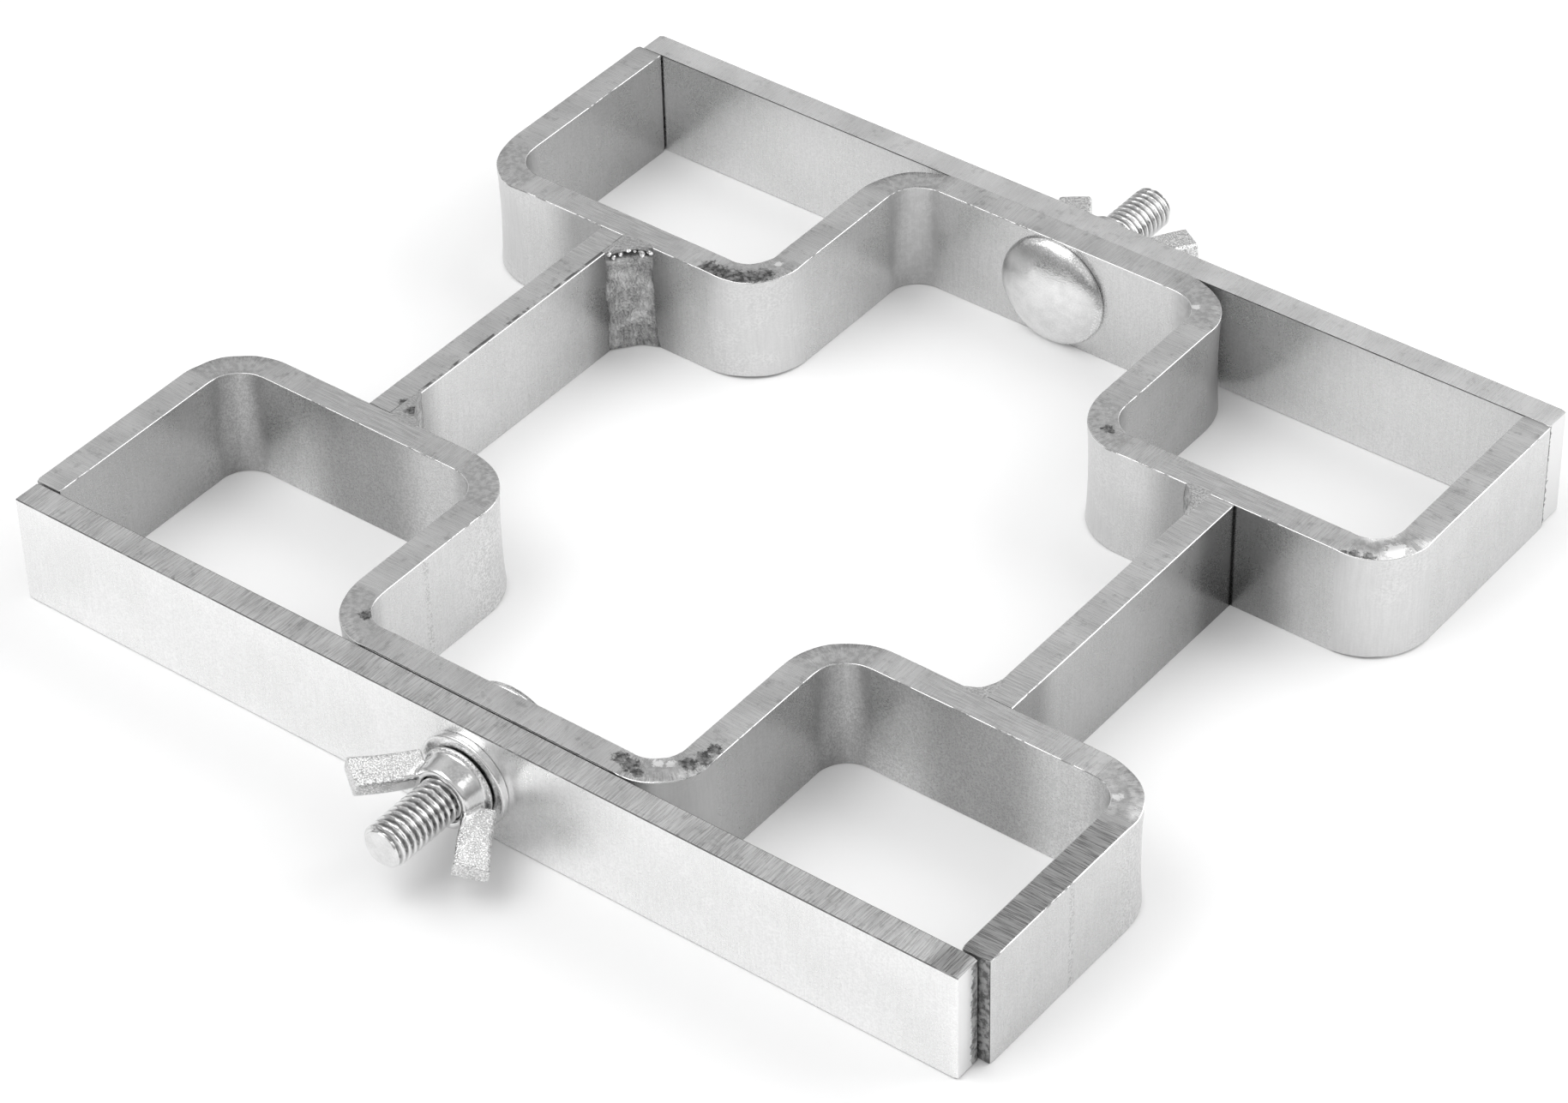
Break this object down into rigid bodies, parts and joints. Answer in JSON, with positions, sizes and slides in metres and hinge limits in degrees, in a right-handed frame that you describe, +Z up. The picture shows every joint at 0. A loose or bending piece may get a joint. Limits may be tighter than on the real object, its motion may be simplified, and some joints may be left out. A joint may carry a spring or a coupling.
{
  "type": "stage leg clamp",
  "caption": "Flat steel clamp with bent-bar leg pockets on a welded centre, closed by straight clamp bars under wing nuts.",
  "frame": {"origin": "on the floor at the centre of the clamp", "axes": "+X along the clamp bars, +Y from the front bar towards the rear bar, +Z up"},
  "size_m": [0.2308, 0.2504, 0.0254],
  "materials": {
    "bar_steel": "mill finish with fine grain and scuffs",
    "weld_steel": "rough weld bead, ground on top",
    "zinc": "satin zinc plate"
  },
  "bodies": {
    "frame": {"front_strip": "bar_steel", "rear_strip": "bar_steel", "left_web": "bar_steel", "right_web": "bar_steel", "front_left_weld": "weld_steel", "front_right_weld": "weld_steel", "rear_left_weld": "weld_steel", "rear_right_weld": "weld_steel", "front_bolt": "zinc", "rear_bolt": "zinc"},
    "front_slider": {"front_washer": "zinc"},
    "front_clamp_bar": {"front_bar": "bar_steel"},
    "front_nut": {"front_wing_nut": "zinc"},
    "rear_slider": {"rear_washer": "zinc"},
    "rear_clamp_bar": {"rear_bar": "bar_steel"},
    "rear_nut": {"rear_wing_nut": "zinc"}
  },
  "joints": [
    {"name": "front_clamp_slide", "type": "slide", "parent": "frame", "child": "front_slider", "axis": [0, -1, 0], "range_m": [0, 0.01429]},
    {"name": "front_bar_swing", "type": "hinge", "parent": "front_slider", "child": "front_clamp_bar", "pos_m": [-0.0004, -0.09741, 0.0127], "axis": [0, -1, 0], "continuous": true},
    {"name": "front_nut_turn", "type": "hinge", "parent": "front_slider", "child": "front_nut", "pos_m": [-0.0004, -0.10238, 0.0127], "axis": [0, -1, 0], "range_deg": [0, 3240]},
    {"name": "rear_clamp_slide", "type": "slide", "parent": "frame", "child": "rear_slider", "axis": [0, 1, 0], "range_m": [0, 0.01429]},
    {"name": "rear_bar_swing", "type": "hinge", "parent": "rear_slider", "child": "rear_clamp_bar", "pos_m": [0.0004, 0.09741, 0.0127], "axis": [0, 1, 0], "continuous": true},
    {"name": "rear_nut_turn", "type": "hinge", "parent": "rear_slider", "child": "rear_nut", "pos_m": [0.0004, 0.10238, 0.0127], "axis": [0, 1, 0], "range_deg": [0, 3240]}
  ],
  "couplings": [
    {"joint": "front_nut_turn", "follows": "front_clamp_slide", "rad_per_m": 3957.9},
    {"joint": "rear_nut_turn", "follows": "rear_clamp_slide", "rad_per_m": 3957.9}
  ]
}
